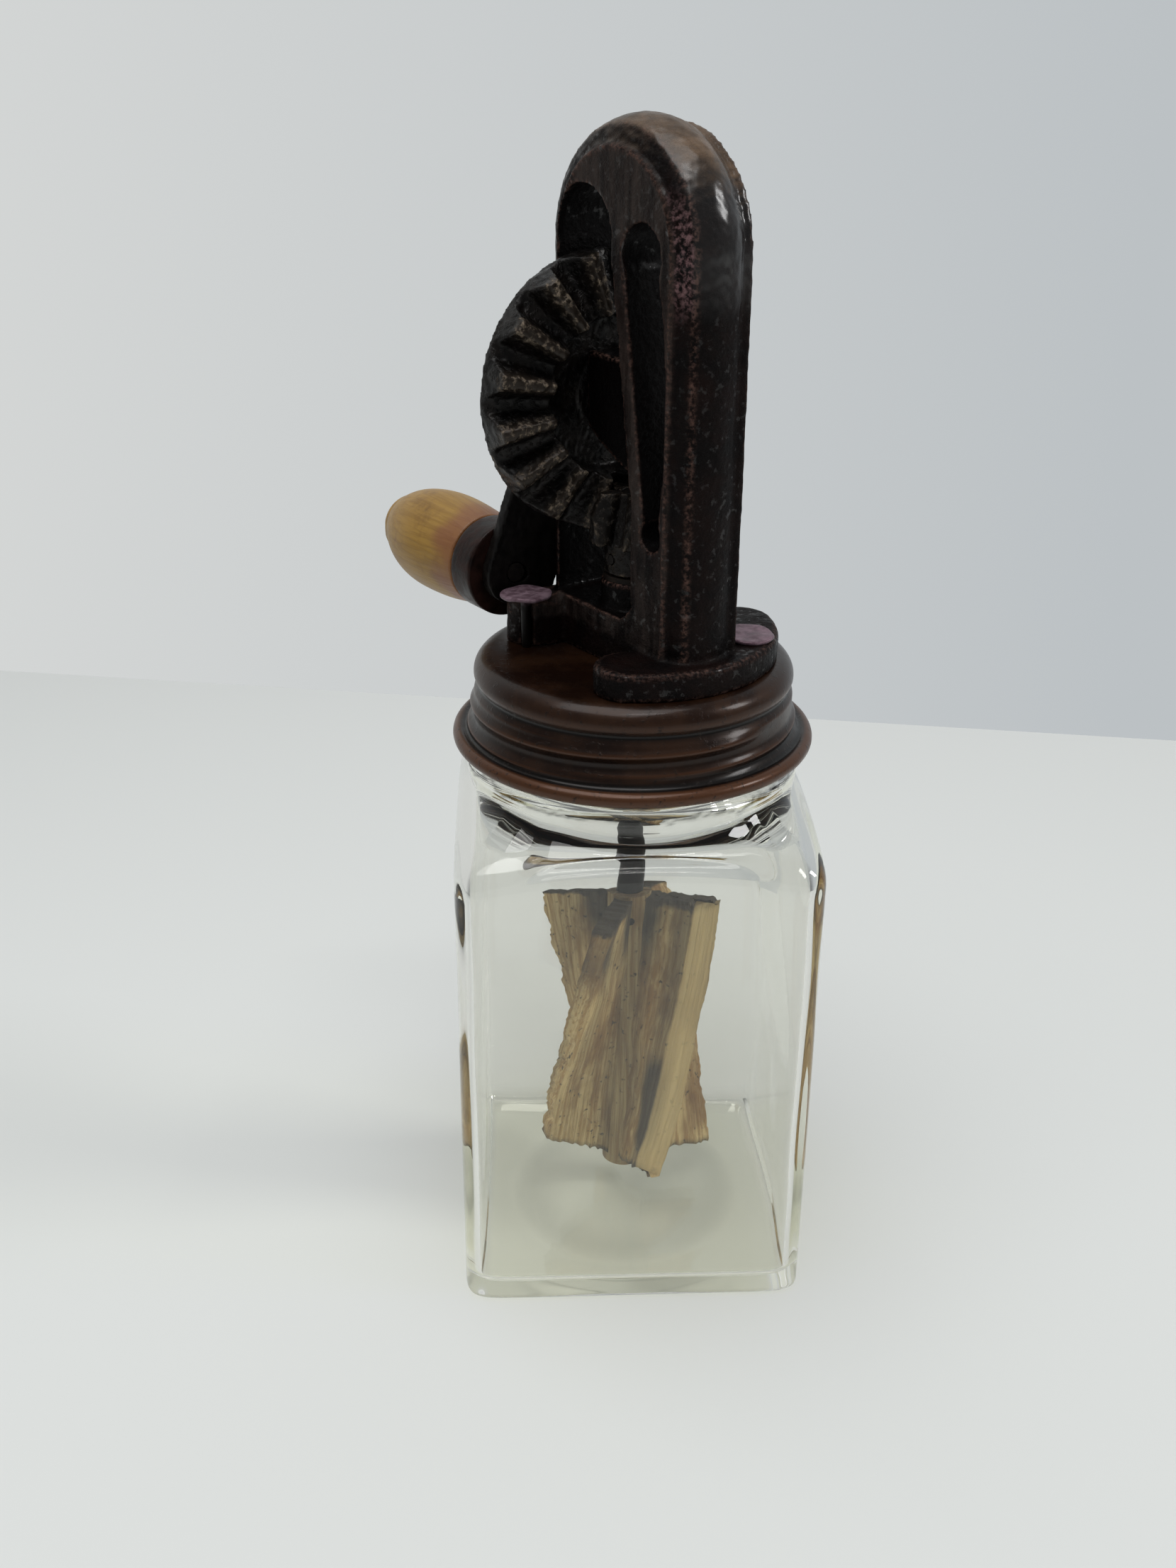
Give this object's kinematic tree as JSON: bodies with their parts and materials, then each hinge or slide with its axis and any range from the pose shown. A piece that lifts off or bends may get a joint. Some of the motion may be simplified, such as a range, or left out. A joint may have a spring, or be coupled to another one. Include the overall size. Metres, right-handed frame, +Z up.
{
  "type": "hand-crank butter churn",
  "caption": "Small glass-jar butter churn: a square jar, a screw lid and a cast arch whose hand crank and bevel gears turn a wooden dasher inside the jar.",
  "frame": {"origin": "middle of the jar's base, on the surface that the jar stands on", "axes": "+Z up along the dasher's shaft; the jar's plain front faces -Y; the crank points back and to the left, 33 degrees left of +Y"},
  "size_m": [0.087, 0.0838, 0.2317],
  "materials": {
    "jar_glass": "clear pressed glass",
    "seal_rubber": "matte aged",
    "lid_tin": "satin bronze",
    "arch_paint": "worn gloss paint",
    "tack_metal": "dull",
    "bush_iron": "dull",
    "gear_iron": "rough cast",
    "dark_steel": "dull dark",
    "arm_paint": "worn",
    "collar_paint": "satin",
    "knob_wood": "worn varnish",
    "dasher_wood": "weathered"
  },
  "bodies": {
    "jar_body": {"jar": "jar_glass"},
    "seal_body": {"lid_seal": "seal_rubber"},
    "lid_body": {"screw_lid": "lid_tin", "arch_frame": "arch_paint", "frame_tacks": "tack_metal", "shaft_bush": "bush_iron", "axle_bush": "bush_iron"},
    "crank_body": {"drive_gear": "gear_iron", "gear_key": "dark_steel", "gear_axle": "dark_steel", "crank_washer": "dark_steel", "crank_arm": "arm_paint", "axle_nut": "dark_steel", "knob_collar": "collar_paint", "knob_pin": "dark_steel"},
    "knob_body": {"wood_knob": "knob_wood"},
    "dasher_body": {"pinion": "gear_iron", "pinion_pin": "dark_steel", "dasher_shaft": "dark_steel", "dasher_core": "dasher_wood", "dasher_pins": "dark_steel", "blade_1": "dasher_wood", "blade_2": "dasher_wood", "blade_3": "dasher_wood", "blade_4": "dasher_wood"}
  },
  "joints": [
    {"name": "lid_lift", "type": "slide", "parent": "jar_body", "child": "seal_body", "axis": [0, 0, 1], "range_m": [0, 0.0042]},
    {"name": "lid_turn", "type": "hinge", "parent": "seal_body", "child": "lid_body", "pos_m": [0, 0, 0.133], "axis": [0, 0, 1], "range_deg": [0, 360]},
    {"name": "crank_turn", "type": "hinge", "parent": "lid_body", "child": "crank_body", "pos_m": [0, 0, 0.182], "axis": [-0.5446, 0.8387, 0], "continuous": true},
    {"name": "knob_spin", "type": "hinge", "parent": "crank_body", "child": "knob_body", "pos_m": [-0.0121, -0.00785, 0.1463], "axis": [-0.5446, 0.8387, 0], "continuous": true},
    {"name": "dasher_spin", "type": "hinge", "parent": "lid_body", "child": "dasher_body", "pos_m": [0, 0, 0.05], "axis": [0, 0, 1], "continuous": true}
  ],
  "couplings": [
    {"joint": "lid_lift", "follows": "lid_turn", "m_per_rad": 0.00066845},
    {"joint": "dasher_spin", "follows": "crank_turn", "ratio": 3.2}
  ]
}
